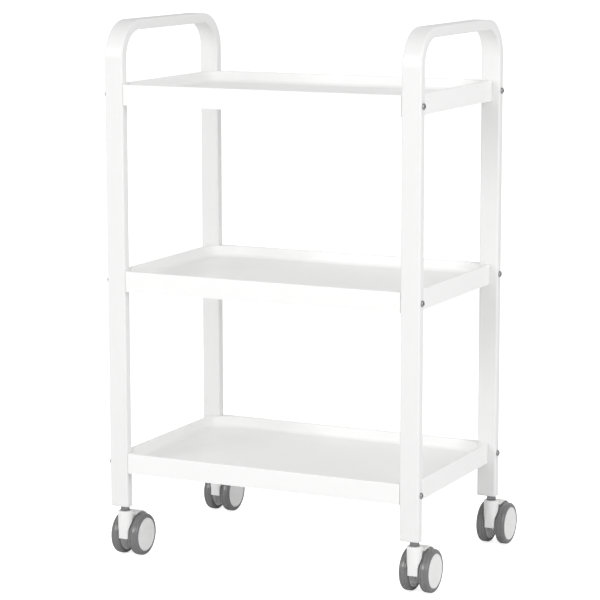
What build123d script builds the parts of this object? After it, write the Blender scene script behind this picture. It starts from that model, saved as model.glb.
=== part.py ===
from build123d import *
import os
from math import cos, radians, sin

# Rolling salon trolley: two U-bent flat-tube end frames, three moulded trays and four
# twin-wheel swivel casters. Millimetres, +Z up, X along the trays, front towards -Y.
# The origin is on the floor, under the middle of the whole trolley's outline.

os.makedirs("parts", exist_ok=True)

# ---- whole trolley ----
frame_length = 500.0  # over the outer faces of the end frames
frame_depth = 310.0  # over the front and back faces of the posts
overall_height = 800.0  # floor to the top of the handles

# ---- flat tube of the end frames ----
tube_width = 30.0  # across the broad face, along X
tube_depth = 15.0
tube_wall = 1.5
tube_corner = 3.0
bend_radius = 55.0  # outside of the two handle bends
post_bottom = 78.5  # underside of the plug's flange
plug_flange = 2.5
plug_insert = 28.0
plug_round = 1.2
plug_clearance = 0.1

# ---- trays ----
tray_length = 476.0
tray_count = 3
tray_pitch = 274.0
bottom_rim = 160.5  # height of the bottom tray's rim
skirt_height = 30.0
tray_wall = 3.0
rim_width = 5.0
pan_depth = 17.0
pan_corner = 50.0
pan_draft = 12.0  # degrees that the pan's walls lean out
pan_cove = 7.0
rim_round = 1.2
recess_play = 0.2  # between a post's back and the tray
skirt_corner = 2.2
cavity_corner = 0.6
rib_height = 8.0
rib_thickness = 2.5
rib_overlap = 0.5  # up into the pan's floor

# ---- tray screws and nuts, M5 ----
screw_drop = 15.0  # below the rim
screw_shank = 5.0
screw_hole = 5.5
screw_reach = 39.5
head_width = 9.5
head_height = 2.75
socket_width = 3.0
socket_depth = 1.5
nut_width = 8.0
nut_height = 4.0
nut_bore = 5.1

# ---- casters ----
stem_offset = 6.0  # the plug's hole is off the tube's centre, along X
stem_diameter = 8.0
stem_hole = 8.1
stem_bore = 8.12
stem_top = 98.0
stem_foot = 46.0
stem_nut_width = 13.0
stem_nut_height = 5.0
stem_washer_diameter = 14.5
stem_washer_height = 1.2
caster_top = 72.0
collar_diameter = 22.0
collar_height = 8.0
collar_round = 1.5
shoulder_bottom = 38.0  # the collar runs down to here, outside the wheels' space
slope_top = 54.0  # the collar's front slopes back from here to the web's
trail = 24.0
wheel_radius = 31.5
web_thickness = 14.8
web_radius = 29.0
web_front = 8.5  # ahead of the stem's axis
web_round = 3.0
web_bottom = 29.5
axle_boss_radius = 8.5
wheel_space = 33.0  # radius kept free for the wheels
hood_radius = 35.5
hood_thickness = 2.5
hood_width = 23.0
hood_low_angle = 32.0
hood_high_angle = 112.0

# ---- twin wheels, distances out from the caster's middle plane ----
tyre_inner = 7.8
tyre_outer = 22.6
tyre_seat = 26.3  # radius where the tyre sits on the core
tyre_shoulder = 4.5
groove_offset = 2.6  # of the tread's two grooves from its middle
groove_radius = 0.45
axle_diameter = 6.0
axle_hole = 6.02
wheel_bore = 6.12
axle_half = 20.2
core_outer = 20.6
core_web_inner = 9.6
core_web_outer = 12.2
core_boss_radius = 6.5
core_boss_end = 19.4
core_rim_radius = 23.4
clip_diameter = 11.0
clip_thickness = 0.5
clip_bore = 6.02
cap_radius = 25.6
cap_face = 21.6
cap_spigot_outer = 23.2
cap_spigot_inner = 21.2
cap_spigot_end = 17.6
cap_lip = 0.8
cap_lip_width = 1.6
cap_round = 0.3

# ---- where things stand ----
post_inner = frame_length / 2 - tube_width
post_centre_x = frame_length / 2 - tube_width / 2
post_centre_y = frame_depth / 2 - tube_depth / 2
left_reach = frame_length / 2 + head_height
right_reach = post_centre_x + stem_offset + tyre_outer
front_reach = post_centre_y + collar_diameter / 2
back_reach = post_centre_y + trail + wheel_radius
frame_x = (left_reach - right_reach) / 2  # the end frames' middle from the origin
frame_y = (front_reach - back_reach) / 2
tube_end = post_bottom + plug_flange
rims = [bottom_rim + i * tray_pitch for i in range(tray_count)]
sides = {"left": -1, "right": 1}
corners = {"fl": (-1, -1), "fr": (1, -1), "bl": (-1, 1), "br": (1, 1)}


def save(part, name):
    part.label = name
    export_step(part, f"parts/{name}.step")


def end_frame(side):
    """One U-bent flat tube: front post, handle, back post."""
    x = frame_x + side * post_centre_x
    low = frame_y - post_centre_y
    high = frame_y + post_centre_y
    top = overall_height - tube_depth / 2
    with BuildLine(Plane.YZ.offset(x)) as run:
        FilletPolyline(
            (low, tube_end), (low, top), (high, top), (high, tube_end), radius=bend_radius - tube_depth / 2
        )
    start = Plane((x, low, tube_end))
    with BuildSketch(start) as outer:
        RectangleRounded(tube_width, tube_depth, tube_corner)
    with BuildSketch(start) as inner:
        RectangleRounded(
            tube_width - 2 * tube_wall, tube_depth - 2 * tube_wall, tube_corner - tube_wall
        )
    with BuildPart() as frame:
        sweep(sections=outer.sketch, path=run.wire())
        sweep(sections=inner.sketch, path=run.wire(), mode=Mode.SUBTRACT)
        holes = [(x, y, rim - screw_drop) for y in (low, high) for rim in rims]
        with Locations(*holes):
            Cylinder(screw_hole / 2, tube_width + 2, rotation=(0, 90, 0), mode=Mode.SUBTRACT)
    return frame.part


def tube_plug(sx, sy):
    """Plug in a post's foot, with the off-centre threaded hole for the caster's stem."""
    x = frame_x + sx * post_centre_x
    y = frame_y + sy * post_centre_y
    with BuildPart() as plug:
        with BuildSketch(Plane((x, y, post_bottom))):
            RectangleRounded(tube_width, tube_depth, tube_corner)
        extrude(amount=plug_flange)
        fillet(plug.faces().sort_by(Axis.Z)[0].edges(), radius=plug_round)
        shrink = 2 * (tube_wall + plug_clearance)
        with BuildSketch(Plane((x, y, tube_end))):
            RectangleRounded(tube_width - shrink, tube_depth - shrink, plug_round)
        extrude(amount=plug_insert)
        with Locations(Plane((x + stem_offset, y, post_bottom))):
            Cylinder(stem_hole / 2, 2 * (plug_flange + plug_insert) + 2, mode=Mode.SUBTRACT)
    return plug.part


def tray_outline(level, inset, corner):
    """The tray's outline with a recess for each post, drawn in by the inset."""
    recess_x = tray_length / 2 - post_inner
    recess_y = tube_depth + recess_play
    with BuildSketch(Plane((frame_x, frame_y, level))) as outline:
        Rectangle(tray_length - 2 * inset, frame_depth - 2 * inset)
        with GridLocations(tray_length, frame_depth, 2, 2):
            Rectangle(2 * (recess_x + inset), 2 * (recess_y + inset), mode=Mode.SUBTRACT)
        fillet(outline.vertices(), radius=corner)
    return outline.sketch


def tray_pan(rim):
    """The space inside the pan: round corners, walls that lean out, and a coved floor."""
    with BuildPart() as pan:
        with BuildSketch(Plane((frame_x, frame_y, rim))):
            RectangleRounded(tray_length - 2 * rim_width, frame_depth - 2 * rim_width, pan_corner)
        extrude(amount=-pan_depth, taper=pan_draft)
        fillet(pan.faces().sort_by(Axis.Z)[0].edges(), radius=pan_cove)
    return pan.part


def tray(rim):
    """Moulded tray: skirt, flat rim with a recess for each post, and a dished pan."""
    pan = tray_pan(rim)
    outline = tray_outline(rim, 0, skirt_corner)
    cavity = tray_outline(rim - skirt_height, tray_wall, cavity_corner)
    pan_x = tray_length - 2 * rim_width
    pan_y = frame_depth - 2 * rim_width
    with BuildPart() as body:
        extrude(to_extrude=outline, amount=-skirt_height)
        fillet(body.faces().sort_by(Axis.Z)[-1].edges(), radius=rim_round)
        extrude(to_extrude=cavity, amount=skirt_height - tray_wall, mode=Mode.SUBTRACT)
        with BuildSketch(Plane((frame_x, frame_y, rim - tray_wall / 2))):
            RectangleRounded(pan_x + 2 * tray_wall, pan_y + 2 * tray_wall, pan_corner + tray_wall)
        extrude(amount=-(pan_depth + tray_wall / 2), taper=pan_draft)
        add(pan, mode=Mode.SUBTRACT)
        mouth = body.faces().filter_by(Axis.Z).sort_by(Axis.Z)[-1].inner_wires()[0]
        fillet(mouth.edges(), radius=rim_round)
        under = Plane((frame_x, frame_y, rim - pan_depth - tray_wall + rib_overlap))
        with BuildSketch(under):
            with GridLocations(0, pan_y / 3, 1, 2):
                Rectangle(pan_x - pan_corner, rib_thickness)
            with GridLocations(pan_x / 4, 0, 3, 1):
                Rectangle(rib_thickness, pan_y - pan_corner)
        extrude(amount=-rib_height)
        wall_x = post_inner - tray_wall / 2
        holes = [
            (frame_x + sx * wall_x, frame_y + sy * post_centre_y, rim - screw_drop)
            for sx, sy in corners.values()
        ]
        with Locations(*holes):
            Cylinder(screw_hole / 2, 2 * tray_wall, rotation=(0, 90, 0), mode=Mode.SUBTRACT)
    return body.part


def each_fixing():
    """Plane on a post's outer face at every tray corner, with Z pointing out of the face."""
    for rim in rims:
        for sx, sy in corners.values():
            point = (frame_x + sx * frame_length / 2, frame_y + sy * post_centre_y, rim - screw_drop)
            yield Plane(point, x_dir=(0, 1, 0), z_dir=(sx, 0, 0))


def tray_screws():
    """Domed socket screws, one at each corner of each tray."""
    with BuildPart() as screws:
        for face in each_fixing():
            with BuildSketch(face):
                Circle(head_width / 2)
            extrude(amount=head_height)
            with BuildSketch(face):
                Circle(screw_shank / 2)
            extrude(amount=-screw_reach)
        tops = screws.faces().filter_by(Axis.X).filter_by(lambda f: f.area > 40).filter_by(
            lambda f: abs(f.center().X - frame_x) > frame_length / 2 + head_height / 2
        )
        fillet(tops.edges(), radius=head_height * 0.85)
        for face in each_fixing():
            with BuildSketch(face.offset(head_height)):
                RegularPolygon(socket_width / 2, 6, major_radius=False)
            extrude(amount=-socket_depth, mode=Mode.SUBTRACT)
    return screws.part


def tray_nuts():
    """Hexagon nuts behind the walls of the trays' recesses."""
    with BuildPart() as nuts:
        for face in each_fixing():
            with BuildSketch(face.offset(-(tube_width + tray_wall))):
                RegularPolygon(nut_width / 2, 6, major_radius=False, rotation=30)
                Circle(nut_bore / 2, mode=Mode.SUBTRACT)
            extrude(amount=-nut_height)
    return nuts.part


def stem_point(corner):
    sx, sy = corner
    return frame_x + sx * post_centre_x + stem_offset, frame_y + sy * post_centre_y


def caster_stem(corner):
    """Steel stem: threaded into the plug, plain where the housing turns on it."""
    with BuildPart() as stem:
        with BuildSketch(Plane((*stem_point(corner), stem_foot))):
            Circle(stem_diameter / 2)
        extrude(amount=stem_top - stem_foot)
        chamfer(stem.edges().filter_by(GeomType.CIRCLE), length=0.8)
    return stem.part


def stem_nuts():
    """Lock nuts that clamp the stems against the plugs."""
    with BuildPart() as nuts:
        for corner in corners.values():
            with BuildSketch(Plane((*stem_point(corner), post_bottom - stem_nut_height))):
                RegularPolygon(stem_nut_width / 2, 6, major_radius=False)
                Circle(stem_hole / 2, mode=Mode.SUBTRACT)
            extrude(amount=stem_nut_height)
    return nuts.part


def stem_washers():
    with BuildPart() as washers:
        for corner in corners.values():
            height = post_bottom - stem_nut_height
            with BuildSketch(Plane((*stem_point(corner), height))):
                Circle(stem_washer_diameter / 2)
                Circle(stem_hole / 2, mode=Mode.SUBTRACT)
            extrude(amount=-stem_washer_height)
    return washers.part


def hood_band(x, axle_y, inner_radius):
    """Sketch of the part of a ring round the axle that lies under the hood's outer face."""
    reach = 2 * hood_radius
    angles = [hood_low_angle, (hood_low_angle + hood_high_angle) / 2, hood_high_angle]
    wedge = [(axle_y + reach * cos(radians(a)), wheel_radius + reach * sin(radians(a))) for a in angles]
    with BuildSketch(Plane.YZ.offset(x)) as band:
        with Locations((axle_y, wheel_radius)):
            Circle(hood_radius)
            Circle(inner_radius, mode=Mode.SUBTRACT)
        Polygon((axle_y, wheel_radius), *wedge, align=None, mode=Mode.INTERSECT)
    return band.sketch


def caster_collar(corner):
    """Round collar under the nut, cut away below where the wheels turn."""
    x, y = stem_point(corner)
    with BuildPart() as collar:
        with BuildSketch(Plane((x, y, shoulder_bottom))):
            Circle(collar_diameter / 2)
        extrude(amount=caster_top - shoulder_bottom)
        fillet(collar.faces().sort_by(Axis.Z)[-1].edges(), radius=collar_round)
        for side in sides.values():
            with BuildSketch(Plane.YZ.offset(x + side * web_thickness / 2)):
                with Locations((y + trail, wheel_radius)):
                    Circle(wheel_space)
            extrude(amount=side * collar_diameter, mode=Mode.SUBTRACT)
        reach = y - collar_diameter / 2
        with BuildSketch(Plane.YZ.offset(x)):
            Polygon(
                (reach, slope_top), (reach, shoulder_bottom), (y - web_front, shoulder_bottom), align=None
            )
        extrude(amount=collar_diameter, both=True, mode=Mode.SUBTRACT)
    return collar.part


def caster_housing(corner):
    """Swivelling body: collar, web between the wheels, hood over their tops."""
    x, y = stem_point(corner)
    axle_y = y + trail
    collar = caster_collar(corner)
    with BuildPart() as housing:
        with BuildSketch(Plane.YZ.offset(x)):
            with Locations((axle_y, wheel_radius)):
                Circle(web_radius)
            with Locations((y - web_front, web_bottom)):
                Rectangle(
                    web_front + trail, caster_top - collar_height - web_bottom + 1, align=Align.MIN
                )
            with Locations((axle_y, web_bottom)):
                Rectangle(3 * web_radius, web_radius, align=(Align.CENTER, Align.MAX), mode=Mode.SUBTRACT)
            with Locations((y - web_front, 0)):
                Rectangle(web_radius, 2 * web_radius, align=(Align.MAX, Align.MIN), mode=Mode.SUBTRACT)
            with Locations((axle_y, wheel_radius)):
                Circle(axle_boss_radius)
        extrude(amount=web_thickness / 2, both=True)
        fillet(housing.edges().filter_by(Axis.Z).group_by(Axis.Y)[0], radius=web_round)
        add(collar)
        extrude(hood_band(x, axle_y, web_radius - 1), amount=web_thickness / 2, both=True)
        extrude(hood_band(x, axle_y, hood_radius - hood_thickness), amount=hood_width / 2, both=True)
        with Locations((x, y, caster_top)):
            Cylinder(stem_bore / 2, 2 * (caster_top - stem_foot + 0.5), mode=Mode.SUBTRACT)
        with Locations((x, axle_y, wheel_radius)):
            Cylinder(axle_hole / 2, web_thickness + 2, rotation=(0, 90, 0), mode=Mode.SUBTRACT)
    return housing.part


def caster_axle(corner):
    x, y = stem_point(corner)
    with BuildPart() as axle:
        with BuildSketch(Plane.YZ.offset(x)):
            with Locations((y + trail, wheel_radius)):
                Circle(axle_diameter / 2)
        extrude(amount=axle_half, both=True)
        chamfer(axle.edges().filter_by(GeomType.CIRCLE), length=0.5)
    return axle.part


def axle_clips(corner):
    """Push-on washers that keep the wheels on the axle."""
    x, y = stem_point(corner)
    with BuildPart() as clips:
        for side in sides.values():
            place = Plane(
                (x + side * (core_boss_end + 0.1), y + trail, wheel_radius),
                x_dir=(0, 1, 0),
                z_dir=(side, 0, 0),
            )
            with BuildSketch(place):
                Circle(clip_diameter / 2)
                Circle(clip_bore / 2, mode=Mode.SUBTRACT)
            extrude(amount=clip_thickness)
    return clips.part


def wheel_plane(corner, side):
    """Plane through the axle: X points outwards along it, Y up the wheel."""
    x, y = stem_point(corner)
    return Plane((x, y + trail, wheel_radius), x_dir=(side, 0, 0), z_dir=(0, -side, 0))


def wheel_axis(corner):
    x, y = stem_point(corner)
    return Axis((x, y + trail, wheel_radius), (1, 0, 0))


def wheel_core(corner, side):
    """Spoked-disc core: boss on the axle, thin disc, and the ring under the tyre."""
    with BuildPart() as core:
        with BuildSketch(wheel_plane(corner, side)):
            with Locations((core_web_inner, wheel_bore / 2)):
                Rectangle(
                    core_web_outer - core_web_inner, tyre_seat - wheel_bore / 2 - 1, align=Align.MIN
                )
            with Locations((tyre_inner, wheel_bore / 2)):
                Rectangle(
                    core_boss_end - tyre_inner, core_boss_radius - wheel_bore / 2, align=Align.MIN
                )
            with Locations((tyre_inner + 0.6, core_rim_radius)):
                Rectangle(core_outer - tyre_inner - 0.6, tyre_seat - core_rim_radius, align=Align.MIN)
        revolve(axis=wheel_axis(corner))
    return core.part


def wheel_tyre(corner, side):
    """Soft tyre with rounded shoulders and two shallow grooves round the tread."""
    with BuildPart() as tyre:
        with BuildSketch(wheel_plane(corner, side)) as profile:
            with Locations((tyre_inner, tyre_seat)):
                Rectangle(tyre_outer - tyre_inner, wheel_radius - tyre_seat, align=Align.MIN)
            fillet(profile.vertices().group_by(Axis.Y)[-1], radius=tyre_shoulder)
            middle = (tyre_inner + tyre_outer) / 2
            with Locations(
                (middle - groove_offset, wheel_radius), (middle + groove_offset, wheel_radius)
            ):
                Circle(groove_radius, mode=Mode.SUBTRACT)
        revolve(axis=wheel_axis(corner))
    return tyre.part


def hub_cap(corner, side):
    """Flat disc over the wheel's outer side, with a low lip and a snap-in spigot."""
    with BuildPart() as cap:
        with BuildSketch(wheel_plane(corner, side)) as profile:
            with Locations((core_outer, 0)):
                Rectangle(cap_face - core_outer, cap_radius, align=Align.MIN)
            with Locations((cap_spigot_end, cap_spigot_inner)):
                Rectangle(
                    core_outer - cap_spigot_end + 0.2,
                    cap_spigot_outer - cap_spigot_inner,
                    align=Align.MIN,
                )
            with Locations((core_outer, cap_radius - cap_lip_width)):
                Rectangle(cap_face - core_outer + cap_lip, cap_lip_width, align=Align.MIN)
        revolve(axis=wheel_axis(corner))
        rim = cap.edges().filter_by(GeomType.CIRCLE).filter_by(lambda e: e.radius > cap_radius - 0.1)
        fillet(rim, radius=cap_round)
    return cap.part


for side_name, side_sign in sides.items():
    save(end_frame(side_sign), f"{side_name}_end_frame")

for tray_name, rim_height in zip(("bottom", "middle", "top"), rims):
    save(tray(rim_height), f"{tray_name}_tray")

save(tray_screws(), "tray_screws")
save(tray_nuts(), "tray_nuts")
save(stem_nuts(), "stem_nuts")
save(stem_washers(), "stem_washers")

for place_name, signs in corners.items():
    save(tube_plug(*signs), f"tube_plug_{place_name}")
    save(caster_housing(signs), f"caster_{place_name}_housing")
    save(caster_stem(signs), f"caster_{place_name}_stem")
    save(caster_axle(signs), f"caster_{place_name}_axle")
    save(axle_clips(signs), f"caster_{place_name}_clips")
    for side_name, side_sign in sides.items():
        wheel_name = f"wheel_{place_name}_{side_name}"
        save(wheel_core(signs, side_sign), f"{wheel_name}_core")
        save(wheel_tyre(signs, side_sign), f"{wheel_name}_tyre")
        save(hub_cap(signs, side_sign), f"{wheel_name}_cap")
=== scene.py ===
from math import cos, pi, radians, sin, tan

import bmesh
import bpy
from mathutils import Matrix, Vector


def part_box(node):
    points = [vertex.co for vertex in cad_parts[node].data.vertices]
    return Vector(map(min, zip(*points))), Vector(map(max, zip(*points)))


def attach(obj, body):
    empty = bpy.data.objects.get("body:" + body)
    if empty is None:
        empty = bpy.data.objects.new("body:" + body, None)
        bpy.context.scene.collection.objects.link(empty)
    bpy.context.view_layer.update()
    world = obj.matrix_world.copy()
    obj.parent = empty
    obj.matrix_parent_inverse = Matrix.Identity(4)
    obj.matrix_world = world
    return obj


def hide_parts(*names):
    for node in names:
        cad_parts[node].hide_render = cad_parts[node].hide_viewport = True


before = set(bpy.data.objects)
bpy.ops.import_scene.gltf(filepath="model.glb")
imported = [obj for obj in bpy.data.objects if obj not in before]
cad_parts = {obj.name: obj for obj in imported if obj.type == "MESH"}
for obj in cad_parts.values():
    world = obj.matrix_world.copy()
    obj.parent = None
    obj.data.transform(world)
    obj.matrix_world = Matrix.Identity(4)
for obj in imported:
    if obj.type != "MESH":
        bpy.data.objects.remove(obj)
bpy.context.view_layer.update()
sides = {"left": -1, "right": 1}
corners = {"fl": (-1, -1), "fr": (1, -1), "bl": (-1, 1), "br": (1, 1)}
trayNames = ["bottom_tray", "middle_tray", "top_tray"]


def middleOf(node):
    low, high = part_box(node)
    return (low + high) / 2


trolleyMiddle = middleOf("bottom_tray")  # the frame's middle, since the casters trail behind it
trolleyMiddle.z = 0

# camera, floor and light

cameraView = {
    "azimuth": 25.88, "elevation": 9.53, "roll": -0.09,
    "distance": 3.6534, "aimHeight": 0.3845, "aimRight": -0.0088, "focalShare": 4.0938,
}


def makeCamera():
    turn, lift = radians(cameraView["azimuth"]), radians(cameraView["elevation"])
    back = Vector((sin(turn) * cos(lift), -cos(turn) * cos(lift), sin(lift)))
    right = Vector((cos(turn), sin(turn), 0))
    aim = trolleyMiddle + right * cameraView["aimRight"] + Vector((0, 0, cameraView["aimHeight"]))
    data = bpy.data.cameras.new("productCamera")
    camera = bpy.data.objects.new("productCamera", data)
    bpy.context.scene.collection.objects.link(camera)
    data.sensor_width = 36
    data.lens = data.sensor_width * cameraView["focalShare"]
    data.clip_end = 100
    camera.location = aim + back * cameraView["distance"]
    facing = Matrix((right, back.cross(right), back)).transposed()
    roll = Matrix.Rotation(radians(cameraView["roll"]), 3, "Z")
    camera.rotation_euler = (facing @ roll).to_euler()
    bpy.context.scene.camera = camera


floorLook = {"size": 90.0, "colour": (0.86, 0.86, 0.86, 1), "glow": 0.75}


def makeFloor():
    bm = bmesh.new()
    bmesh.ops.create_grid(bm, x_segments=1, y_segments=1, size=floorLook["size"] / 2)
    mesh = bpy.data.meshes.new("paleFloor")
    bm.to_mesh(mesh)
    bm.free()
    floor = bpy.data.objects.new("paleFloor", mesh)
    bpy.context.scene.collection.objects.link(floor)
    material = bpy.data.materials.new("paleFloor")
    material.use_nodes = True
    shader = material.node_tree.nodes["Principled BSDF"]
    shader.inputs["Base Color"].default_value = floorLook["colour"]
    shader.inputs["Roughness"].default_value = 0.9
    shader.inputs["Emission Color"].default_value = (1, 1, 1, 1)
    # the glow whitens the floor for the camera and lights nothing
    tree = material.node_tree
    seen = tree.nodes.new("ShaderNodeLightPath")
    glow = tree.nodes.new("ShaderNodeMath")
    glow.operation = "MULTIPLY"
    glow.inputs[1].default_value = floorLook["glow"]
    tree.links.new(seen.outputs["Is Camera Ray"], glow.inputs[0])
    tree.links.new(glow.outputs[0], shader.inputs["Emission Strength"])
    mesh.materials.append(material)


# direction in degrees round the trolley, 0 in front, 90 at its right
lampSet = {
    "frontLamp": {"azimuth": -22, "elevation": 21, "distance": 3.4, "size": 1.5, "power": 30.5},
    "leftLamp": {"azimuth": -75, "elevation": 30, "distance": 3.2, "size": 2.0, "power": 5},
    "rightLamp": {"azimuth": 66, "elevation": 18, "distance": 3.0, "size": 2.2, "power": 28},
    "backLamp": {"azimuth": 185, "elevation": 35, "distance": 3.4, "size": 2.4, "power": 6},
}
skyLook = {"colour": (1, 1, 1, 1), "strength": 0.62}


def makeLights():
    aim = trolleyMiddle + Vector((0, 0, 0.4))
    for name, lamp in lampSet.items():
        turn, lift = radians(lamp["azimuth"]), radians(lamp["elevation"])
        back = Vector((sin(turn) * cos(lift), -cos(turn) * cos(lift), sin(lift)))
        data = bpy.data.lights.new(name, "AREA")
        data.shape = "DISK"
        data.size = lamp["size"]
        data.energy = lamp["power"]
        light = bpy.data.objects.new(name, data)
        bpy.context.scene.collection.objects.link(light)
        light.location = aim + back * lamp["distance"]
        light.rotation_euler = back.to_track_quat("Z", "Y").to_euler()
    world = bpy.data.worlds.new("softStudio")
    world.use_nodes = True
    background = world.node_tree.nodes["Background"]
    background.inputs["Color"].default_value = skyLook["colour"]
    background.inputs["Strength"].default_value = skyLook["strength"]
    bpy.context.scene.world = world
    bpy.context.scene.view_settings.view_transform = "Standard"


makeCamera()
makeFloor()
makeLights()
print("camera, floor and light are in place")

# shared surface effects

# how the grain, wear and dust-and-top-shade groups read their noise and slopes
effectShape = {
    "broadScale": 28, "edgeGain": 9.0, "patchLevel": 0.42, "patchGain": 4.0,
    "dustAndShadeSlope": 0.55, "dustAndShadeGain": 2.2, "toneLow": 0.3, "toneHigh": 0.7, "dustDulls": 0.3,
}


def newGroup(name, inputs, outputs):
    group = bpy.data.node_groups.new(name, "ShaderNodeTree")
    for label, kind, value in inputs:
        socket = group.interface.new_socket(name=label, in_out="INPUT", socket_type=kind)
        if value is not None:
            socket.default_value = value
    for label, kind in outputs:
        group.interface.new_socket(name=label, in_out="OUTPUT", socket_type=kind)
    start = group.nodes.new("NodeGroupInput")
    end = group.nodes.new("NodeGroupOutput")
    return group, start, end


def addNode(tree, kind, **settings):
    node = tree.nodes.new(kind)
    for name, value in settings.items():
        setattr(node, name, value)
    return node


def addMath(tree, operation, first, second=None, clamp=False):
    node = addNode(tree, "ShaderNodeMath", operation=operation, use_clamp=clamp)
    for socket, value in zip(node.inputs, (first, second)):
        if value is None:
            continue
        if isinstance(value, (int, float)):
            socket.default_value = value
        else:
            tree.links.new(value, socket)
    return node.outputs[0]


def makeGrainGroup():
    # two sizes of mottling, for the height of a bump and for uneven gloss
    group, start, end = newGroup(
        "surfaceGrain",
        [("Place", "NodeSocketVector", None), ("Scale", "NodeSocketFloat", 900.0),
         ("Waviness", "NodeSocketFloat", 0.4)],
        [("Height", "NodeSocketFloat"), ("Unevenness", "NodeSocketFloat")],
    )
    fine = addNode(group, "ShaderNodeTexNoise")
    fine.inputs["Detail"].default_value = 3
    broad = addNode(group, "ShaderNodeTexNoise")
    broad.inputs["Scale"].default_value = effectShape["broadScale"]
    broad.inputs["Detail"].default_value = 4
    group.links.new(start.outputs["Place"], fine.inputs["Vector"])
    group.links.new(start.outputs["Place"], broad.inputs["Vector"])
    group.links.new(start.outputs["Scale"], fine.inputs["Scale"])
    waves = addMath(group, "MULTIPLY", broad.outputs[0], start.outputs["Waviness"])
    height = addMath(group, "ADD", fine.outputs[0], waves)
    group.links.new(height, end.inputs["Height"])
    group.links.new(broad.outputs[0], end.inputs["Unevenness"])
    return group


def makeWearGroup():
    # 1 on convex and concave edges where hands and tools rub, broken up by noise
    group, start, end = newGroup(
        "edgeWear",
        [("Place", "NodeSocketVector", None), ("Width", "NodeSocketFloat", 0.0015),
         ("Amount", "NodeSocketFloat", 0.5), ("Patches", "NodeSocketFloat", 60.0)],
        [("Mask", "NodeSocketFloat")],
    )
    soft = addNode(group, "ShaderNodeBevel", samples=4)
    group.links.new(start.outputs["Width"], soft.inputs["Radius"])
    plain = addNode(group, "ShaderNodeNewGeometry")
    likeness = addNode(group, "ShaderNodeVectorMath", operation="DOT_PRODUCT")
    group.links.new(soft.outputs[0], likeness.inputs[0])
    group.links.new(plain.outputs["Normal"], likeness.inputs[1])
    turned = addMath(group, "SUBTRACT", 1.0, likeness.outputs["Value"], clamp=True)
    edge = addMath(group, "MULTIPLY", turned, effectShape["edgeGain"], clamp=True)
    patches = addNode(group, "ShaderNodeTexNoise")
    patches.inputs["Detail"].default_value = 5
    group.links.new(start.outputs["Place"], patches.inputs["Vector"])
    group.links.new(start.outputs["Patches"], patches.inputs["Scale"])
    spread = addMath(group, "SUBTRACT", patches.outputs[0], effectShape["patchLevel"], clamp=True)
    broken = addMath(group, "MULTIPLY", spread, effectShape["patchGain"], clamp=True)
    rubbed = addMath(group, "MULTIPLY", edge, broken)
    mask = addMath(group, "MULTIPLY", rubbed, start.outputs["Amount"], clamp=True)
    group.links.new(mask, end.inputs["Mask"])
    return group


def makeDustAndTopShadeGroup():
    # 1 where a face looks up: dust can lie there, and on the powder coat the darkening of the tops is also
    #                          painted shade
    group, start, end = newGroup(
        "settledDustAndTopShade",
        [("Place", "NodeSocketVector", None), ("Amount", "NodeSocketFloat", 0.3),
         ("Patches", "NodeSocketFloat", 14.0)],
        [("Mask", "NodeSocketFloat")],
    )
    plain = addNode(group, "ShaderNodeNewGeometry")
    parts = addNode(group, "ShaderNodeSeparateXYZ")
    group.links.new(plain.outputs["Normal"], parts.inputs[0])
    steep = addMath(group, "SUBTRACT", parts.outputs["Z"], effectShape["dustAndShadeSlope"], clamp=True)
    upward = addMath(group, "MULTIPLY", steep, effectShape["dustAndShadeGain"])
    patches = addNode(group, "ShaderNodeTexNoise")
    patches.inputs["Detail"].default_value = 6
    group.links.new(start.outputs["Place"], patches.inputs["Vector"])
    group.links.new(start.outputs["Patches"], patches.inputs["Scale"])
    lying = addMath(group, "MULTIPLY", upward, patches.outputs[0])
    mask = addMath(group, "MULTIPLY", lying, start.outputs["Amount"], clamp=True)
    group.links.new(mask, end.inputs["Mask"])
    return group


grainGroup = makeGrainGroup()
wearGroup = makeWearGroup()
dustAndTopShadeGroup = makeDustAndTopShadeGroup()

# finishes


def placeGroup(tree, group, place, **values):
    node = addNode(tree, "ShaderNodeGroup", node_tree=group)
    tree.links.new(place, node.inputs["Place"])
    for name, value in values.items():
        node.inputs[name].default_value = value
    return node


def mixColours(tree, mask, under, over):
    node = addNode(tree, "ShaderNodeMix", data_type="RGBA")
    tree.links.new(mask, node.inputs["Factor"])
    for socket, value in ((node.inputs["A"], under), (node.inputs["B"], over)):
        if isinstance(value, tuple):
            socket.default_value = value
        else:
            tree.links.new(value, socket)
    return node.outputs["Result"]


def spreadBetween(tree, value, low, high):
    node = addNode(tree, "ShaderNodeMapRange")
    tree.links.new(value, node.inputs["Value"])
    node.inputs["From Min"].default_value = effectShape["toneLow"]
    node.inputs["From Max"].default_value = effectShape["toneHigh"]
    node.inputs["To Min"].default_value = low
    node.inputs["To Max"].default_value = high
    return node.outputs["Result"]


def startMaterial(name, look):
    material = bpy.data.materials.new(name)
    material.use_nodes = True
    tree = material.node_tree
    shader = tree.nodes["Principled BSDF"]
    shader.inputs["Specular IOR Level"].default_value = look.get("specular", 0.5)
    shader.inputs["Coat Weight"].default_value = look.get("coat", 0)
    shader.inputs["Coat Roughness"].default_value = look.get("coatRoughness", 0.2)
    shader.inputs["Metallic"].default_value = look.get("metallic", 0)
    if look.get("ownPlace"):
        place = addNode(tree, "ShaderNodeAttribute", attribute_name="ownPlace").outputs["Vector"]
    else:
        place = addNode(tree, "ShaderNodeTexCoord").outputs["Object"]
    return material, tree, shader, place


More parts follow.
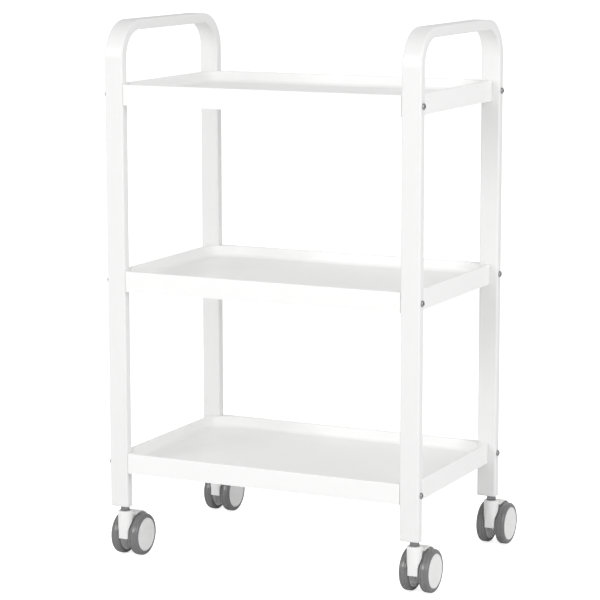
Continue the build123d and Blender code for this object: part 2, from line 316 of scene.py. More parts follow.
def finishSurface(tree, shader, place, look):
    # colour with uneven tone, dust on up-facing faces (on the powder coat partly painted shade) and rubbed
    # edges, then roughness and bump from the grain
    grain = placeGroup(tree, grainGroup, place, Scale=look["grainScale"], Waviness=look["waviness"])
    wear = placeGroup(
        tree, wearGroup, place, Width=look["wearWidth"], Amount=look["wear"], Patches=look["wearPatches"]
    )
    dust = placeGroup(tree, dustAndTopShadeGroup, place, Amount=look["dust"])
    toned = mixColours(tree, grain.outputs["Unevenness"], look["colour"], look["toneColour"])
    dustedAndTopShaded = mixColours(tree, dust.outputs["Mask"], toned, look["dustColour"])
    worn = mixColours(tree, wear.outputs["Mask"], dustedAndTopShaded, look["wearColour"])
    tree.links.new(worn, shader.inputs["Base Color"])
    gloss = spreadBetween(tree, grain.outputs["Unevenness"], look["roughLow"], look["roughHigh"])
    dulling = addMath(tree, "MULTIPLY", dust.outputs["Mask"], effectShape["dustDulls"])
    dulled = addMath(tree, "ADD", gloss, dulling, clamp=True)
    tree.links.new(dulled, shader.inputs["Roughness"])
    bump = addNode(tree, "ShaderNodeBump")
    bump.inputs["Strength"].default_value = look["bumpStrength"]
    bump.inputs["Distance"].default_value = look["bumpDepth"]
    tree.links.new(grain.outputs["Height"], bump.inputs["Height"])
    tree.links.new(bump.outputs[0], shader.inputs["Normal"])
    return grain, wear, dust


# its darker colour on up-facing faces such as the handle tops is partly real dust and partly painted shade
powderCoatLook = {
    "colour": (0.885, 0.885, 0.88, 1), "toneColour": (0.865, 0.866, 0.863, 1),
    "wearColour": (0.72, 0.71, 0.69, 1), "dustColour": (0.6, 0.6, 0.59, 1),
    "grainScale": 620, "waviness": 0.5, "wearWidth": 0.0012, "wear": 0.35, "wearPatches": 42, "dust": 0.35,
    "roughLow": 0.3, "roughHigh": 0.4, "bumpStrength": 0.35, "bumpDepth": 0.00012, "coat": 0.25,
    "coatRoughness": 0.18,
}
trayPlasticLook = {
    "colour": (0.955, 0.955, 0.95, 1), "toneColour": (0.94, 0.941, 0.937, 1),
    "wearColour": (0.76, 0.755, 0.74, 1), "dustColour": (0.8, 0.79, 0.765, 1),
    "grainScale": 1500, "waviness": 0.9, "wearWidth": 0.0014, "wear": 0.3, "wearPatches": 30, "dust": 0.12,
    "roughLow": 0.34, "roughHigh": 0.46, "bumpStrength": 0.3, "bumpDepth": 0.00008,
}
housingLook = {
    "colour": (0.91, 0.91, 0.905, 1), "toneColour": (0.885, 0.886, 0.88, 1),
    "wearColour": (0.7, 0.695, 0.68, 1), "dustColour": (0.62, 0.61, 0.59, 1), "ownPlace": True,
    "grainScale": 1800, "waviness": 0.8, "wearWidth": 0.0008, "wear": 0.35, "wearPatches": 130,
    "dust": 0.3, "roughLow": 0.3, "roughHigh": 0.42, "bumpStrength": 0.3, "bumpDepth": 0.00006,
}
plugLook = {
    "colour": (0.86, 0.86, 0.85, 1), "toneColour": (0.83, 0.83, 0.82, 1),
    "wearColour": (0.6, 0.59, 0.57, 1), "dustColour": (0.6, 0.59, 0.57, 1),
    "grainScale": 1500, "waviness": 0.6, "wearWidth": 0.0008, "wear": 0.4, "wearPatches": 120, "dust": 0.1,
    "roughLow": 0.42, "roughHigh": 0.55, "bumpStrength": 0.3, "bumpDepth": 0.00008,
}
capLook = {
    "colour": (0.885, 0.885, 0.88, 1), "toneColour": (0.855, 0.856, 0.85, 1),
    "wearColour": (0.55, 0.545, 0.53, 1), "dustColour": (0.6, 0.59, 0.57, 1), "ownPlace": True,
    "grainScale": 1600, "waviness": 0.8, "wearWidth": 0.0006, "wear": 0.45, "wearPatches": 150,
    "dust": 0.2, "roughLow": 0.28, "roughHigh": 0.42, "bumpStrength": 0.3, "bumpDepth": 0.00006,
}
# the core's colour is paler than its real mid-grey: painted light that lifts the shade between the wheels
corePaintedLightLook = {
    "colour": (0.84, 0.84, 0.84, 1), "toneColour": (0.78, 0.78, 0.78, 1),
    "wearColour": (0.7, 0.7, 0.69, 1), "dustColour": (0.55, 0.54, 0.52, 1), "ownPlace": True,
    "grainScale": 1300, "waviness": 0.7, "wearWidth": 0.0006, "wear": 0.3, "wearPatches": 140, "dust": 0.4,
    "roughLow": 0.45, "roughHigh": 0.6, "bumpStrength": 0.35, "bumpDepth": 0.0001,
}
screwLook = {
    "colour": (0.46, 0.46, 0.465, 1), "toneColour": (0.3, 0.3, 0.305, 1),
    "wearColour": (0.55, 0.55, 0.55, 1), "dustColour": (0.3, 0.29, 0.28, 1), "metallic": 1,
    "grainScale": 2600, "waviness": 1.2, "wearWidth": 0.0004, "wear": 0.7, "wearPatches": 300, "dust": 0.1,
    "roughLow": 0.14, "roughHigh": 0.28, "bumpStrength": 0.3, "bumpDepth": 0.00004,
}
stemLook = {
    "colour": (0.34, 0.34, 0.35, 1), "toneColour": (0.2, 0.2, 0.205, 1),
    "wearColour": (0.62, 0.62, 0.61, 1), "dustColour": (0.35, 0.33, 0.31, 1), "metallic": 1,
    "grainScale": 2200, "waviness": 1.2, "wearWidth": 0.0005, "wear": 0.6, "wearPatches": 220,
    "dust": 0.25, "roughLow": 0.14, "roughHigh": 0.3, "bumpStrength": 0.3, "bumpDepth": 0.00005,
}
rubberLook = {
    "colour": (0.175, 0.175, 0.18, 1), "toneColour": (0.155, 0.155, 0.16, 1),
    "wearColour": (0.26, 0.26, 0.26, 1), "dustColour": (0.27, 0.262, 0.25, 1), "ownPlace": True,
    "specular": 0.8, "grainScale": 1700, "waviness": 0.5, "wearWidth": 0.0009, "wear": 0.3,
    "wearPatches": 160, "dust": 0.3, "roughLow": 0.15, "roughHigh": 0.24, "bumpStrength": 0.35,
    "bumpDepth": 0.00004,
    "treadRadius": 0.0312, "treadColour": (0.215, 0.211, 0.205, 1), "treadPatches": 210,
    "threadLines": 1100, "lineDepth": 0.00002,
}


def plainFinish(name, look):
    material, tree, shader, place = startMaterial(name, look)
    finishSurface(tree, shader, place, look)
    return material


def makeRubber():
    # rolled-in floor dust on the tread, and the mould's fine turning lines all over
    look = rubberLook
    material, tree, shader, place = startMaterial("darkTyreRubber", look)
    finishSurface(tree, shader, place, look)
    spread = addNode(tree, "ShaderNodeSeparateXYZ")
    tree.links.new(place, spread.inputs[0])
    squares = addMath(
        tree, "ADD", addMath(tree, "POWER", addMath(tree, "ABSOLUTE", spread.outputs["Y"]), 2.0),
        addMath(tree, "POWER", addMath(tree, "ABSOLUTE", spread.outputs["Z"]), 2.0),
    )
    reach = addMath(tree, "SQRT", squares)
    onTread = addMath(tree, "GREATER_THAN", reach, look["treadRadius"])
    patches = addNode(tree, "ShaderNodeTexNoise")
    patches.inputs["Scale"].default_value = look["treadPatches"]
    patches.inputs["Detail"].default_value = 5
    tree.links.new(place, patches.inputs["Vector"])
    rolled = addMath(tree, "MULTIPLY", onTread, patches.outputs[0])
    under = shader.inputs["Base Color"].links[0].from_socket
    tree.links.new(mixColours(tree, rolled, under, look["treadColour"]), shader.inputs["Base Color"])
    across = addMath(tree, "ADD", spread.outputs["X"], reach)
    lines = addMath(tree, "SINE", addMath(tree, "MULTIPLY", across, 2 * pi * look["threadLines"]))
    lineBump = addNode(tree, "ShaderNodeBump")
    lineBump.inputs["Strength"].default_value = look["bumpStrength"]
    lineBump.inputs["Distance"].default_value = look["lineDepth"]
    tree.links.new(lines, lineBump.inputs["Height"])
    tree.links.new(shader.inputs["Normal"].links[0].from_socket, lineBump.inputs["Normal"])
    tree.links.new(lineBump.outputs[0], shader.inputs["Normal"])
    return material


powderCoat = plainFinish("whitePowderCoat", powderCoatLook)
trayPlastic = plainFinish("whiteTrayPlastic", trayPlasticLook)
housingNylon = plainFinish("whiteHousingNylon", housingLook)
plugPlastic = plainFinish("whitePlugPlastic", plugLook)
capPlastic = plainFinish("whiteCapPlastic", capLook)
corePaintedLightPlastic = plainFinish("greyCorePaintedLight", corePaintedLightLook)
screwSteel = plainFinish("darkScrewSteel", screwLook)
stemSteel = plainFinish("zincStemSteel", stemLook)
tyreRubber = makeRubber()
print("finishes are made")

# helpers that shape a mesh


def roundedFace(bm, width, depth, corner, steps, place):
    made = bmesh.ops.create_grid(bm, x_segments=1, y_segments=1, size=0.5)
    bmesh.ops.scale(bm, vec=(width, depth, 1), verts=made["verts"])
    bmesh.ops.translate(bm, vec=place, verts=made["verts"])
    return roundCorners(bm, made["verts"][0].link_faces[0], corner, steps)


def roundCorners(bm, face, corner, steps):
    rounded = bmesh.ops.bevel(
        bm, geom=face.verts[:], offset=corner, offset_type="OFFSET", segments=steps, profile=0.5,
        affect="VERTICES", material=-1,
    )
    face = rounded["verts"][0].link_faces[0]
    face.normal_update()
    return face


def pull(bm, edges, way):
    made = bmesh.ops.extrude_edge_only(bm, edges=edges)["geom"]
    bmesh.ops.translate(bm, vec=way, verts=[g for g in made if isinstance(g, bmesh.types.BMVert)])
    return [g for g in made if isinstance(g, bmesh.types.BMEdge)]


def swing(bm, edges, centre, axis, angle, steps):
    made = bmesh.ops.spin(
        bm, geom=edges, cent=centre, axis=axis, angle=angle, steps=steps, use_merge=False,
        use_duplicate=False,
    )["geom_last"]
    return [g for g in made if isinstance(g, bmesh.types.BMEdge)]


def stepInwards(bm, face, steps):
    # insets a lone face again and again, and gives the edges that it started from
    earlier = {edge for edge in bm.edges if face not in edge.link_faces}
    for inset, rise in steps:
        bmesh.ops.inset_individual(bm, faces=[face], thickness=inset, depth=rise, use_even_offset=True)
    return [edge for edge in bm.edges if edge.is_boundary and edge not in earlier]


def arcSteps(radius, start, end, count, way=-1):
    # (inset, rise) moves along an arc whose slope goes from start to end, in degrees from level
    slopes = [radians(start + (end - start) * i / count) for i in range(count + 1)]
    return [
        (radius * abs(sin(b) - sin(a)), way * radius * abs(cos(b) - cos(a)))
        for a, b in zip(slopes, slopes[1:])
    ]


def closeShape(bm):
    bmesh.ops.remove_doubles(bm, verts=bm.verts[:], dist=2e-6)
    bmesh.ops.recalc_face_normals(bm, faces=bm.faces[:])


def turnSolid(outline, turns):
    # each corner of the section is (along X, distance from X, rounding, steps); it is turned about X
    bm = bmesh.new()
    points = [bm.verts.new((along, 0, reach)) for along, reach, rounding, steps in outline]
    bm.faces.new(points)
    for point, (along, reach, rounding, steps) in zip(points, outline):
        if rounding:
            bmesh.ops.bevel(
                bm, geom=[point], offset=rounding, offset_type="OFFSET", segments=steps, profile=0.5,
                affect="VERTICES", material=-1,
            )
    bmesh.ops.delete(bm, geom=bm.faces[:], context="FACES_ONLY")
    onAxis = [edge for edge in bm.edges if all(vertex.co.z < 1e-7 for vertex in edge.verts)]
    bmesh.ops.delete(bm, geom=onAxis, context="EDGES")
    bmesh.ops.spin(
        bm, geom=bm.edges[:], cent=(0, 0, 0), axis=(1, 0, 0), angle=2 * pi, steps=turns, use_merge=True,
        use_duplicate=False,
    )
    closeShape(bm)
    return bm


def copiesOf(mesh, places):
    bm = bmesh.new()
    for place in places:
        earlier = len(bm.verts)
        bm.from_mesh(mesh)
        bmesh.ops.transform(bm, matrix=place, verts=bm.verts[earlier:])
    return bm


def meshOf(bm, name):
    mesh = bpy.data.meshes.new(name)
    bm.to_mesh(mesh)
    bm.free()
    return mesh


def keepOwnPlace(mesh):
    # a caster part's pattern stays with the part, wherever its mesh is moved to
    spot = mesh.attributes.new("ownPlace", "FLOAT_VECTOR", "POINT")
    for vertex, item in zip(mesh.vertices, spot.data):
        item.vector = vertex.co


def putPiece(mesh, name, material, body, cadNodes, sharp=40):
    mesh.shade_smooth()
    mesh.set_sharp_from_angle(angle=radians(sharp))
    mesh.materials.clear()
    mesh.materials.append(material)
    piece = bpy.data.objects.new(name, mesh)
    bpy.context.scene.collection.objects.link(piece)
    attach(piece, body)
    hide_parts(*cadNodes)
    return piece


def evenShading(piece):
    weights = piece.modifiers.new("evenShading", "WEIGHTED_NORMAL")
    weights.keep_sharp = True


# end frames

tubeShape = {
    "width": 0.03, "depth": 0.015, "corner": 0.003, "wall": 0.0015, "bendRadius": 0.055,
    "cornerSteps": 6, "bendSteps": 32,
}


def makeEndFrame(side):
    # one tube: up the front post, round the handle and down the back post
    node = f"{side}_end_frame"
    low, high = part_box(node)
    bend, steps = tubeShape["bendRadius"], tubeShape["bendSteps"]
    centreX = (low.x + high.x) / 2
    bm = bmesh.new()
    roundedFace(
        bm, tubeShape["width"], tubeShape["depth"], tubeShape["corner"], tubeShape["cornerSteps"],
        (centreX, low.y + tubeShape["depth"] / 2, low.z),
    )
    bmesh.ops.delete(bm, geom=bm.faces[:], context="FACES_ONLY")
    rise = Vector((0, 0, high.z - bend - low.z))
    end = pull(bm, bm.edges[:], rise)
    end = swing(bm, end, (centreX, low.y + bend, high.z - bend), (1, 0, 0), -pi / 2, steps)
    end = pull(bm, end, Vector((0, high.y - low.y - 2 * bend, 0)))
    end = swing(bm, end, (centreX, high.y - bend, high.z - bend), (1, 0, 0), -pi / 2, steps)
    pull(bm, end, -rise)
    closeShape(bm)
    bmesh.ops.solidify(bm, geom=bm.faces[:], thickness=tubeShape["wall"])
    name = f"{side}EndFrame"
    piece = putPiece(meshOf(bm, name), name, powderCoat, "root", [node])
    evenShading(piece)


for side in sides:
    makeEndFrame(side)
print("end frames are bent")

# trays

trayShape = {
    "recessPlay": 0.0002, "skirtCorner": 0.0022, "rimRound": 0.0012, "rimWidth": 0.005,
    "panDepth": 0.017, "panCorner": 0.05, "panDraft": 12, "panCove": 0.007, "wall": 0.002,
    "ribHeight": 0.009, "ribThickness": 0.0022, "ribEdge": 0.0005,
    "cornerSteps": 5, "rimSteps": 5, "coveSteps": 8, "panCornerSteps": 20,
}


def trayOutline(bm, low, high, level):
    # plus-shaped outline: each corner is stepped in to clear its post
    middle = (low + high) / 2
    reachX, reachY = high.x - middle.x, high.y - middle.y
    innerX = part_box("right_end_frame")[0].x - middle.x
    innerY = reachY - tubeShape["depth"] - trayShape["recessPlay"]
    quarter = [(reachX, innerY), (innerX, innerY), (innerX, reachY)]
    half = quarter + [(-x, y) for x, y in reversed(quarter)]
    ring = half + [(-x, -y) for x, y in half]
    points = [bm.verts.new((middle.x + x, middle.y + y, level)) for x, y in ring]
    return roundCorners(bm, bm.faces.new(points), trayShape["skirtCorner"], trayShape["cornerSteps"])


def makeTray(node):
    low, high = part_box(node)
    middle = (low + high) / 2
    rim, edge, draft = high.z, trayShape["rimRound"], 90 - trayShape["panDraft"]
    bm = bmesh.new()
    top = trayOutline(bm, low, high, rim - edge)
    outside = stepInwards(bm, top, arcSteps(edge, 90, 0, trayShape["rimSteps"], way=1))
    rimEdges = top.edges[:]
    bmesh.ops.delete(bm, geom=[top], context="FACES_ONLY")
    pull(bm, outside, Vector((0, 0, low.z - rim + edge)))

    panX = high.x - low.x - 2 * trayShape["rimWidth"]
    panY = high.y - low.y - 2 * trayShape["rimWidth"]
    mouth = roundedFace(
        bm, panX + 2 * edge, panY + 2 * edge, trayShape["panCorner"] + edge, trayShape["panCornerSteps"],
        (middle.x, middle.y, rim),
    )
    rounded = arcSteps(edge, 0, draft, trayShape["rimSteps"])
    cove = arcSteps(trayShape["panCove"], draft, 0, trayShape["coveSteps"])
    wallDrop = trayShape["panDepth"] + sum(rise for inset, rise in rounded + cove)
    wall = (wallDrop / tan(radians(draft)), -wallDrop)
    mouthEdges = stepInwards(bm, mouth, rounded + [wall] + cove)
    bmesh.ops.triangle_fill(bm, edges=rimEdges + mouthEdges, use_beauty=True, use_dissolve=False)
    closeShape(bm)
    bmesh.ops.solidify(bm, geom=bm.faces[:], thickness=trayShape["wall"])
    addRibs(bm, middle, panX, panY, rim - trayShape["panDepth"] - trayShape["wall"])
    name = f"{node.split('_')[0]}Tray"
    piece = putPiece(meshOf(bm, name), name, trayPlastic, "root", [node])
    evenShading(piece)


def addRibs(bm, middle, panX, panY, under):
    # two long and three short ribs stiffen the pan from below
    thick, tall = trayShape["ribThickness"], trayShape["ribHeight"]
    longRib, shortRib = panX - trayShape["panCorner"], panY - trayShape["panCorner"]
    ribs = [(0, side * panY / 6, longRib, thick) for side in (-1, 1)]
    ribs += [(place * panX / 4, 0, thick, shortRib) for place in (-1, 0, 1)]
    for x, y, sizeX, sizeY in ribs:
        made = bmesh.ops.create_cube(bm, size=1)["verts"]
        bmesh.ops.scale(bm, vec=(sizeX, sizeY, tall), verts=made)
        bmesh.ops.translate(
            bm, vec=(middle.x + x, middle.y + y, under - tall / 2 + trayShape["wall"] / 2), verts=made
        )
        edges = {edge for vertex in made for edge in vertex.link_edges}
        bmesh.ops.bevel(
            bm, geom=list(edges), offset=trayShape["ribEdge"], segments=2, profile=0.5, affect="EDGES",
            material=-1,
        )


for node in trayNames:
    makeTray(node)
print("trays are moulded")

# tray screws, stem nuts and washers

screwShape = {
    "headWidth": 0.0094, "headHeight": 0.0027, "dome": 0.0022, "headEdge": 0.0002, "shank": 0.0049,
    "shankChamfer": 0.0005, "reach": 0.0394, "socket": 0.003, "socketDepth": 0.0015, "turns": 48,
    "drop": 0.015,
}
nutShape = {
    "width": 0.013, "height": 0.005, "bore": 0.0081, "chamfer": 0.0008, "boreChamfer": 0.0003, "turns": 60,
}
washerShape = {"width": 0.0145, "height": 0.0012, "bore": 0.0081, "round": 0.00035, "turns": 60}


def makeScrew():
    # domed head on a plain shank, with a hexagon socket sunk into the head
    head, top = screwShape["headWidth"] / 2, screwShape["headHeight"]
    shank, reach = screwShape["shank"] / 2, screwShape["reach"]
    bm = turnSolid([
        (-reach, 0, 0, 0), (-reach, shank, screwShape["shankChamfer"], 1), (0, shank, 0, 0),
        (0, head, screwShape["headEdge"], 2), (top, head, screwShape["dome"], 9), (top, 0, 0, 0),
    ], screwShape["turns"])
    lid = [face for face in bm.faces if all(vertex.co.x > top - 1e-6 for vertex in face.verts)]
    bmesh.ops.delete(bm, geom=lid, context="FACES")
    flatTop = [edge for edge in bm.edges if edge.is_boundary]
    ring = bmesh.ops.create_circle(bm, segments=6, radius=screwShape["socket"] / 2 / cos(pi / 6))["verts"]
    bmesh.ops.rotate(bm, cent=(0, 0, 0), matrix=Matrix.Rotation(pi / 2, 3, "Y"), verts=ring)
    bmesh.ops.translate(bm, vec=(top, 0, 0), verts=ring)
    socket = list({edge for vertex in ring for edge in vertex.link_edges})
    bmesh.ops.triangle_fill(bm, edges=flatTop + socket, use_beauty=True, use_dissolve=False)
    floor = pull(bm, socket, Vector((-screwShape["socketDepth"], 0, 0)))
    bmesh.ops.contextual_create(bm, geom=floor)
    closeShape(bm)
    return meshOf(bm, "trayScrew")


def makeNut():
    # a chamfered disc cut to six flats
    height, reach = nutShape["height"], nutShape["width"] / 2 / cos(pi / 6)
    bore, chamfer, boreChamfer = nutShape["bore"] / 2, nutShape["chamfer"], nutShape["boreChamfer"]
    bm = turnSolid([
        (0, bore, boreChamfer, 1), (0, reach, chamfer, 1), (height, reach, chamfer, 1),
        (height, bore, boreChamfer, 1),
    ], nutShape["turns"])
    for i in range(6):
        way = Vector((0, cos(i * pi / 3), sin(i * pi / 3)))
        cut = bmesh.ops.bisect_plane(
            bm, geom=bm.verts[:] + bm.edges[:] + bm.faces[:], plane_co=way * nutShape["width"] / 2,
            plane_no=way, clear_outer=True, dist=1e-7,
        )["geom_cut"]
        bmesh.ops.contextual_create(bm, geom=[g for g in cut if isinstance(g, bmesh.types.BMEdge)])
    closeShape(bm)
    return meshOf(bm, "stemNut")


def makeWasher():
    height, reach, bore = washerShape["height"], washerShape["width"] / 2, washerShape["bore"] / 2
    eased = washerShape["round"]
    bm = turnSolid([
        (0, bore, 0, 0), (0, reach, eased, 3), (height, reach, eased, 3), (height, bore, 0, 0),
    ], washerShape["turns"])
    return meshOf(bm, "stemWasher")


screwPlaces = []
for node in trayNames:
    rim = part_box(node)[1].z
    for signX, signY in corners.values():
        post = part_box("left_end_frame" if signX < 0 else "right_end_frame")
        faceX = post[1].x if signX > 0 else post[0].x
        frontY, backY = post[0].y + tubeShape["depth"] / 2, post[1].y - tubeShape["depth"] / 2
        place = Matrix.Translation((faceX, frontY if signY < 0 else backY, rim - screwShape["drop"]))
        screwPlaces.append(place if signX > 0 else place @ Matrix.Rotation(pi, 4, "Z"))
putPiece(
    meshOf(copiesOf(makeScrew(), screwPlaces), "trayScrews"), "trayScrews", screwSteel, "root",
    ["tray_screws"], sharp=35,
)

stemMiddles = {corner: middleOf(f"caster_{corner}_stem") for corner in corners}
standing = Matrix.Rotation(-pi / 2, 4, "Y")  # turns the X axis up
stemParts = {"stemNuts": (makeNut(), "stem_nuts"), "stemWashers": (makeWasher(), "stem_washers")}
for name, (mesh, node) in stemParts.items():
    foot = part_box(node)[0].z
    places = [Matrix.Translation((spot.x, spot.y, foot)) @ standing for spot in stemMiddles.values()]
    together = meshOf(copiesOf(mesh, places), name)
    putPiece(together, name, stemSteel, "root", [node], sharp=35)
print("screws, nuts and washers are turned")

# caster housings

# measured from the middle of the axle, with X along it and Y to the back
housingShape = {
    "collarRadius": 0.0109, "collarRound": 0.0016, "collarFoot": -0.0019, "slopeTop": 0.0225,
    "webHalf": 0.0073, "webRadius": 0.0289, "webAhead": 0.0084, "webBottom": -0.0019, "webTop": 0.0345,
    "webRound": 0.003, "bossRadius": 0.0084, "wheelSpace": 0.0331, "spaceFrom": 0.0074, "spaceTo": 0.04,
    "bandOverlap": 0.001, "bandRound": 0.0002, "hoodOuter": 0.0353, "hoodThickness": 0.0024,
    "hoodHalf": 0.0113, "hoodRound": 0.0011, "hoodLow": 32.5, "hoodHigh": 111.5, "hoodSteps": 40,
    "stemBore": 0.00406, "boreBelow": 0.0005, "boreAbove": 0.001, "axleBore": 0.00301,
    "axleReach": 0.01, "hair": 0.00001, "voxel": 0.00045, "smoothing": 5, "keptShare": 0.45,
}


def addDisc(bm, radius, start, end, turns=96):
    made = bmesh.ops.create_cone(
        bm, cap_ends=True, segments=turns, radius1=radius, radius2=radius, depth=end - start
    )["verts"]
    bmesh.ops.rotate(bm, cent=(0, 0, 0), matrix=Matrix.Rotation(pi / 2, 3, "Y"), verts=made)
    bmesh.ops.translate(bm, vec=((start + end) / 2, 0, 0), verts=made)


def addPost(bm, radius, foot, top, y):
    made = bmesh.ops.create_cone(
        bm, cap_ends=True, segments=72, radius1=radius, radius2=radius, depth=top - foot
    )["verts"]
    bmesh.ops.translate(bm, vec=(0, y, (foot + top) / 2), verts=made)


def addBand(bm, halfWidth, inner, outer, rounding):
    # a curved plate over the wheels, round the axle
    roundedFace(bm, 2 * halfWidth, outer - inner, rounding, 4, (0, (inner + outer) / 2, 0))
    lowAngle, highAngle = radians(housingShape["hoodLow"]), radians(housingShape["hoodHigh"])
    bmesh.ops.rotate(bm, cent=(0, 0, 0), matrix=Matrix.Rotation(lowAngle, 3, "X"), verts=bm.verts[:])
    bmesh.ops.spin(
        bm, geom=bm.faces[:], cent=(0, 0, 0), axis=(1, 0, 0), angle=highAngle - lowAngle,
        steps=housingShape["hoodSteps"], use_merge=False, use_duplicate=False,
    )


def housingTools(trail, top, stemFoot):
    # every solid that is joined to the collar or cut from it, in order
    shape = housingShape
    webHalf, hair, outer = shape["webHalf"], shape["hair"], shape["hoodOuter"]
    tools = []

    def keepTool(operation, bm):
        closeShape(bm)
        tool = bpy.data.objects.new("housingTool", meshOf(bm, "housingTool"))
        bpy.context.scene.collection.objects.link(tool)
        tools.append((operation, tool))

    for side in sides.values():
        bm = bmesh.new()
        start, end = sorted((side * shape["spaceFrom"], side * shape["spaceTo"]))
        addDisc(bm, shape["wheelSpace"], start, end, turns=144)
        keepTool("DIFFERENCE", bm)

    bm = bmesh.new()
    addDisc(bm, shape["webRadius"], -webHalf, webHalf, turns=144)
    cut = bmesh.ops.bisect_plane(
        bm, geom=bm.verts[:] + bm.edges[:] + bm.faces[:], plane_co=(0, 0, shape["webBottom"]),
        plane_no=(0, 0, -1), clear_outer=True, dist=1e-7,
    )["geom_cut"]
    bmesh.ops.contextual_create(bm, geom=[g for g in cut if isinstance(g, bmesh.types.BMEdge)])
    keepTool("UNION", bm)

    bm = bmesh.new()
    block = bmesh.ops.create_cube(bm, size=1)["verts"]
    front, tall = trail + shape["webAhead"], shape["webTop"] - shape["webBottom"]
    bmesh.ops.scale(bm, vec=(2 * webHalf, front, tall), verts=block)
    bmesh.ops.translate(bm, vec=(0, -front / 2, shape["webBottom"] + tall / 2), verts=block)
    frontEdges = [
        edge for edge in bm.edges
        if all(vertex.co.y < -front + 1e-6 for vertex in edge.verts)
        and abs(edge.verts[0].co.z - edge.verts[1].co.z) > 1e-6
    ]
    bmesh.ops.bevel(
        bm, geom=frontEdges, offset=shape["webRound"], segments=8, profile=0.5, affect="EDGES",
        material=-1,
    )
    keepTool("UNION", bm)

    bm = bmesh.new()
    addDisc(bm, shape["bossRadius"], -webHalf + hair, webHalf - hair)
    keepTool("UNION", bm)

    # a band that carries the web up to the hood, then the hood itself
    bm = bmesh.new()
    bandFoot, rounding = shape["webRadius"] - shape["bandOverlap"], shape["bandRound"]
    addBand(bm, webHalf - 2 * hair, bandFoot, outer - rounding, rounding)
    keepTool("UNION", bm)
    bm = bmesh.new()
    addBand(bm, shape["hoodHalf"], outer - shape["hoodThickness"], outer, shape["hoodRound"])
    keepTool("UNION", bm)

    bm = bmesh.new()
    boreFoot, boreTop = stemFoot - shape["boreBelow"], top + shape["boreAbove"]
    addPost(bm, shape["stemBore"], boreFoot, boreTop, -trail)
    keepTool("DIFFERENCE", bm)
    bm = bmesh.new()
    addDisc(bm, shape["axleBore"], -shape["axleReach"], shape["axleReach"], turns=48)
    keepTool("DIFFERENCE", bm)
    return tools


def makeHousing(trail, top, stemFoot):
    # collar, web and hood are joined, then softened as one moulding
    shape = housingShape
    bm = bmesh.new()
    addPost(bm, shape["collarRadius"], shape["collarFoot"], top, -trail)
    rimEdges = [edge for edge in bm.edges if all(vertex.co.z > top - 1e-6 for vertex in edge.verts)]
    bmesh.ops.bevel(
        bm, geom=rimEdges, offset=shape["collarRound"], segments=6, profile=0.5, affect="EDGES",
        material=-1,
    )
    # its front slopes back to the web's
    foot, ahead = shape["collarFoot"], shape["webAhead"]
    slant = Vector((0, shape["collarRadius"] - ahead, foot - shape["slopeTop"]))
    cut = bmesh.ops.bisect_plane(
        bm, geom=bm.verts[:] + bm.edges[:] + bm.faces[:], clear_outer=True, dist=1e-7,
        plane_co=(0, -trail - ahead, foot), plane_no=slant.cross(Vector((1, 0, 0))),
    )["geom_cut"]
    bmesh.ops.contextual_create(bm, geom=[g for g in cut if isinstance(g, bmesh.types.BMEdge)])
    closeShape(bm)
    body = bpy.data.objects.new("casterHousing", meshOf(bm, "casterHousing"))
    bpy.context.scene.collection.objects.link(body)
    tools = housingTools(trail, top, stemFoot)
    for operation, tool in tools:
        step = body.modifiers.new("housingStep", "BOOLEAN")
        step.solver = "MANIFOLD"
        step.operation = operation
        step.object = tool
    even = body.modifiers.new("evenSkin", "REMESH")
    even.mode = "VOXEL"
    even.voxel_size = shape["voxel"]
    soften = body.modifiers.new("softCorners", "SMOOTH")
    soften.factor = 0.5
    soften.iterations = shape["smoothing"]
    lighten = body.modifiers.new("fewerFaces", "DECIMATE")
    lighten.ratio = shape["keptShare"]
    view = bpy.context.evaluated_depsgraph_get()
    mesh = bpy.data.meshes.new_from_object(body.evaluated_get(view), depsgraph=view)
    for thing in [body] + [tool for operation, tool in tools]:
        bpy.data.objects.remove(thing)
    keepOwnPlace(mesh)
    return mesh


axleMiddles = {corner: middleOf(f"caster_{corner}_axle") for corner in corners}
axleSpot, stemSpot = axleMiddles["fl"], stemMiddles["fl"]
housingMesh = makeHousing(
    axleSpot.y - stemSpot.y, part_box("caster_fl_housing")[1].z - axleSpot.z,
    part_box("caster_fl_stem")[0].z - axleSpot.z,
)
for corner, spot in axleMiddles.items():
    mesh = housingMesh.copy()
    mesh.transform(Matrix.Translation(spot))
    putPiece(
        mesh, f"caster_{corner}_body", housingNylon, f"caster_{corner}",
        [f"caster_{corner}_housing"], sharp=70,
    )
print("caster housings are moulded:", len(housingMesh.polygons), "faces each")

# twin wheels

# distances along the axle from the caster's middle, and radii from the axle
wheelShape = {
    "tyreInner": 0.0078, "tyreOuter": 0.0225, "tyreRadius": 0.03145, "tyreSeat": 0.0263,
    "innerShoulder": 0.0042, "outerShoulder": 0.0046, "tyreLip": 0.0252, "tyreLipFrom": 0.0207,
    "groovePlaces": (-0.0026, 0.0026), "grooveHalf": 0.00045, "grooveDepth": 0.0005, "turns": 108,
    "capRadius": 0.0249, "capBack": 0.0206, "capFace": 0.0215, "capLip": 0.0224, "capLipWidth": 0.0014,
    "capFaceEdge": 0.0026, "spigotEnd": 0.0176, "spigotWall": 0.002, "spigotGap": 0.0002,
    "ringFrom": 0.0084, "ringTo": 0.0206, "ringRadius": 0.0234, "boreRadius": 0.00306,
    "bossRadius": 0.0065, "bossTo": 0.0194, "discFrom": 0.0098, "discTo": 0.0122, "ribs": 10,
    "ribWidth": 0.0012, "ribFrom": 0.0004, "ribTo": 0.004, "ribOverlap": 0.001, "ribEdge": 0.0003,
}


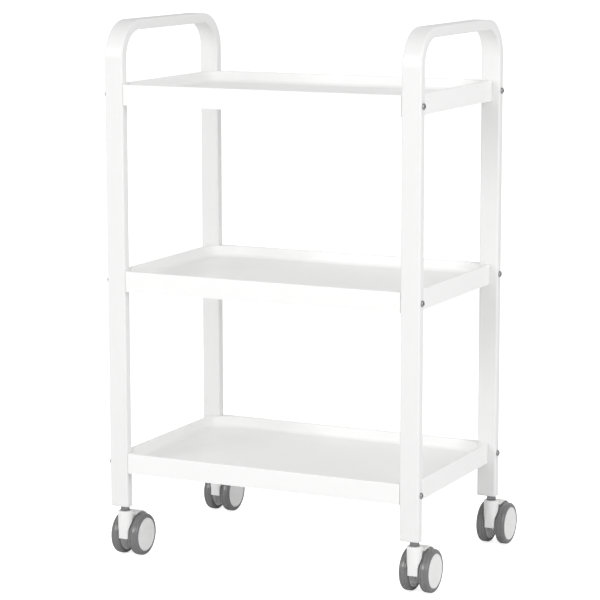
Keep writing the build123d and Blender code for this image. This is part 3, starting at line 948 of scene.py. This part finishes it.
def makeTyre():
    w = wheelShape
    radius, half, depth = w["tyreRadius"], w["grooveHalf"], w["grooveDepth"]
    middle = (w["tyreInner"] + w["tyreOuter"]) / 2
    outline = [(w["tyreInner"], w["tyreSeat"], 0, 0), (w["tyreInner"], radius, w["innerShoulder"], 10)]
    for place in w["groovePlaces"]:
        centre = middle + place
        outline += [
            (centre - half, radius, 0.0001, 2), (centre - half / 2, radius - depth, 0.0001, 2),
            (centre + half / 2, radius - depth, 0.0001, 2), (centre + half, radius, 0.0001, 2),
        ]
    outline += [
        (w["tyreOuter"], radius, w["outerShoulder"], 12), (w["tyreOuter"], w["tyreLip"], 0.0006, 4),
        (w["tyreLipFrom"], w["tyreLip"], 0, 0), (w["tyreLipFrom"], w["tyreSeat"], 0, 0),
    ]
    return meshOf(turnSolid(outline, w["turns"]), "tyre")


def makeCap():
    # shallow dish inside a rounded lip, with the spigot that snaps into the core
    w = wheelShape
    reach, back, face, lip = w["capRadius"], w["capBack"], w["capFace"], w["capLip"]
    outer = w["ringRadius"] - w["spigotGap"]
    inner = outer - w["spigotWall"]
    outline = [
        (back, 0, 0, 0), (back, inner, 0, 0), (w["spigotEnd"], inner, 0.0003, 2),
        (w["spigotEnd"], outer, 0.0005, 2), (back, outer, 0, 0), (back, reach, 0, 0),
        (lip, reach, 0.0006, 5), (lip, reach - w["capLipWidth"], 0.0006, 5),
        (face, reach - w["capFaceEdge"], 0.0009, 5),
        (face - 0.0003, reach * 0.45, 0.003, 4), (face - 0.00035, 0, 0, 0),
    ]
    return meshOf(turnSolid(outline, w["turns"]), "cap")


def makeCore():
    # boss, disc and the ring under the tyre, with stiffening ribs on both faces of the disc
    w = wheelShape
    ring, seat, boss = w["ringRadius"], w["tyreSeat"], w["bossRadius"]
    bm = turnSolid([
        (w["tyreInner"], w["boreRadius"], 0, 0), (w["tyreInner"], boss, 0.0004, 3),
        (w["discFrom"], boss, 0.0006, 3), (w["discFrom"], ring, 0.001, 4), (w["ringFrom"], ring, 0.0004, 3),
        (w["ringFrom"], seat, 0.0003, 2), (w["ringTo"], seat, 0.0003, 2), (w["ringTo"], ring, 0.0003, 2),
        (w["discTo"], ring, 0.001, 4), (w["discTo"], boss, 0.0006, 3), (w["bossTo"], boss, 0.0004, 3),
        (w["bossTo"], w["boreRadius"], 0, 0),
    ], w["turns"])
    low, high = w["ringFrom"] + w["ribFrom"], w["discTo"] + w["ribTo"]
    for i in range(w["ribs"]):
        rib = bmesh.ops.create_cube(bm, size=1)["verts"]
        length = ring - boss + w["ribOverlap"]
        bmesh.ops.scale(bm, vec=(high - low, length, w["ribWidth"]), verts=rib)
        edges = {edge for vertex in rib for edge in vertex.link_edges}
        bmesh.ops.translate(bm, vec=((low + high) / 2, (ring + boss) / 2, 0), verts=rib)
        turn = Matrix.Rotation(2 * pi * i / w["ribs"], 3, "X")
        bmesh.ops.rotate(bm, cent=(0, 0, 0), matrix=turn, verts=rib)
        bmesh.ops.bevel(
            bm, geom=list(edges), offset=w["ribEdge"], segments=2, profile=0.5, affect="EDGES",
            material=-1,
        )
    return meshOf(bm, "core")


wheelParts = {
    "tyre": (makeTyre(), tyreRubber, "tyre_rubber"), "cap": (makeCap(), capPlastic, "cap_plastic"),
    "core": (makeCore(), corePaintedLightPlastic, "core_plastic"),
}
for mesh, material, slotName in wheelParts.values():
    keepOwnPlace(mesh)
for corner, spot in axleMiddles.items():
    for sideName, side in sides.items():
        body = f"wheel_{corner}_{sideName}"
        place = Matrix.Translation(spot)
        if side < 0:
            place = place @ Matrix.Rotation(pi, 4, "Z")
        for part, (mesh, material, slotName) in wheelParts.items():
            copy = mesh.copy()
            copy.transform(place)
            node = f"{body}_{part}"
            putPiece(copy, f"{node}_piece", material, body, [node], sharp=35)
print("wheels are in place")

# finishes on the parts kept from the solid model

keptFinishes = {"tray_nuts": screwSteel}
for corner in corners:
    keptFinishes[f"tube_plug_{corner}"] = plugPlastic
    for part in ("stem", "axle", "clips"):
        keptFinishes[f"caster_{corner}_{part}"] = stemSteel
for node, material in keptFinishes.items():
    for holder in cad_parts[node].material_slots:
        holder.material = material
print("kept parts have their finishes")
